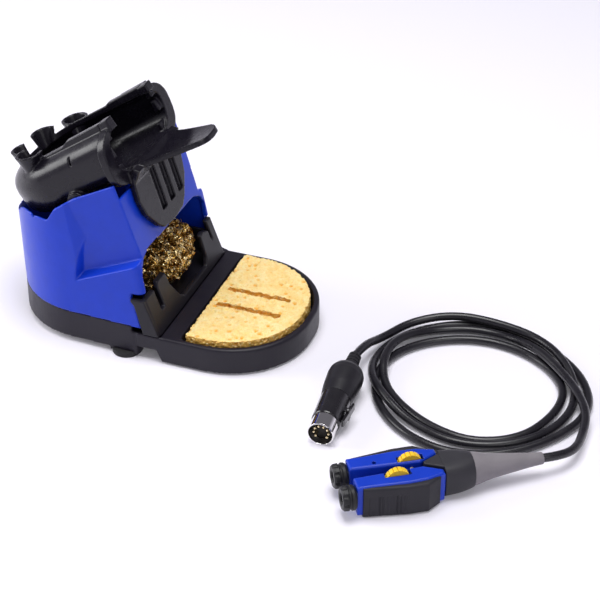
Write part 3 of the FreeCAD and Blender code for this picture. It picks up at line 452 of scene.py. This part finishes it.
def sponge_piece():
    """Open-cell sponge: two ragged slits, worn edges and pores of two sizes."""
    mesh = remeshed(node_mesh("sponge"), SPONGE_VOXEL)
    relax(mesh, 3)
    points = points_of(mesh)
    normals = np.empty(len(points) * 3, dtype=np.float32)
    mesh.vertices.foreach_get("normal", normals)
    normals = normals.reshape(-1, 3)
    pits = np.zeros(len(points))
    for index, (point, normal) in enumerate(zip(points, normals)):
        place = Vector(point) * 1000
        point[1] += slit_shift(place)
        depth = pore_depth(place, normal[2])
        pits[index] = min(1.0, depth / 1.3)
        if normal[2] > -0.8:
            point -= np.array(normal) * max(-0.05, depth) / 1000
    set_points(mesh, points)
    # The pit depths drive the painted shade in the pores of the foam material.
    layer = mesh.attributes.new("pit", "FLOAT", "POINT")
    layer.data.foreach_set("value", pits.astype(np.float32))
    smooth_faces(mesh)
    piece = add_piece("sponge_pad_foam", mesh, "sponge_pad", "sponge_yellow", "sponge")


# ---------------------------------------------------------------- brass wool
WOOL_CENTRE = (-21.5, 4.0, 32.5)
WOOL_RADII = (18.3, 27.8, 16.4)


WOOL_CURLS = 2600
WOOL_EDGE = 0.985


def random_way(draw):
    """A direction, even over the sphere."""
    while True:
        way = Vector([draw.uniform(-1, 1) for _ in range(3)])
        if 0.1 < way.length < 1:
            return way.normalized()


def held_in(point):
    """The point, brought back inside the ball if it stands proud of it."""
    inside = sum(((p - c) / r) ** 2 for p, c, r in zip(point, WOOL_CENTRE, WOOL_RADII)) ** 0.5
    if inside <= WOOL_EDGE:
        return point
    return Vector([c + (p - c) * WOOL_EDGE / inside for p, c in zip(point, WOOL_CENTRE)])


def curl(draw):
    """Points of one ribbon, in pairs across its width, and its tint."""
    way = random_way(draw)
    depth = draw.uniform(0.45, 0.93)
    centre = Vector([c + w * r * depth for c, w, r in zip(WOOL_CENTRE, way, WOOL_RADII)])
    axis = random_way(draw)
    side = axis.orthogonal().normalized()
    other = axis.cross(side)
    radius = draw.uniform(0.6, 2.2)
    turns = draw.uniform(0.9, 2.4)
    climb = draw.uniform(0.5, 1.5)
    width = draw.uniform(0.16, 0.42)
    spread = draw.uniform(-0.25, 0.25)
    phase = draw.uniform(0, 6.28)
    tint = draw.random()
    steps = int(11 * turns)
    points = []
    for step in range(steps + 1):
        share = step / steps
        turn = phase + share * turns * 2 * math.pi
        outward = side * math.cos(turn) + other * math.sin(turn)
        reach = radius * (1 + spread * share)
        middle = (centre + side * reach * math.cos(turn) + other * reach * math.sin(turn)
                  + axis * climb * turns * (share - 0.5))
        lean = axis + outward * 0.35
        points += [held_in(middle + lean * width * sign) for sign in (-1, 1)]
    return points, tint


def wool_piece():
    """Curled ribbons of brass shavings packed in a ball, as one mesh of thin strips."""
    draw = random.Random(11)
    verts, faces, tints = [], [], []
    for _ in range(WOOL_CURLS):
        start = len(verts)
        points, tint = curl(draw)
        verts += [metres(*point) for point in points]
        tints += [tint] * len(points)
        for first in range(start, len(verts) - 2, 2):
            faces.append((first, first + 1, first + 3, first + 2))
    mesh = bpy.data.meshes.new("wool_ribbons")
    mesh.from_pydata(verts, [], faces)
    layer = mesh.attributes.new("tint", "FLOAT", "POINT")
    layer.data.foreach_set("value", np.array(tints, dtype=np.float32))
    smooth_faces(mesh)
    add_piece("wool_ribbons", mesh, "cleaner", "wool", "brass_wool")


# ---------------------------------------------------------------- assembly
MOULDINGS = [  # node, body, slot, voxel, smoothing rounds, share of the faces kept
    ("housing", "stand", "blue_shell", 0.0005, 6, 0.2),
    ("trough", "receptacle", "black_receptacle", 0.0004, 5, 0.25),
    ("receptacle_front", "receptacle", "black_receptacle", 0.0004, 5, 0.25),
    ("wool_case", "cleaner", "black_case", 0.0004, 5, 0.25),
    ("base_tray", "stand", "black_base", 0.0005, 5, 0.2),
    ("near_grip", "near_lever", "grip_rubber", 0.0003, 4, 0.5),
    ("far_grip", "far_lever", "grip_rubber", 0.0003, 4, 0.5),
]

for entry in frame["record"]["subparts"]:
    dress(frame["nodes"][entry["node"]], entry["material_slot"])
dress(cord_run, "cord_black")
sponge_piece()
wool_piece()
for moulding in MOULDINGS:
    moulded_copy(*moulding)

bpy.context.view_layer.update()
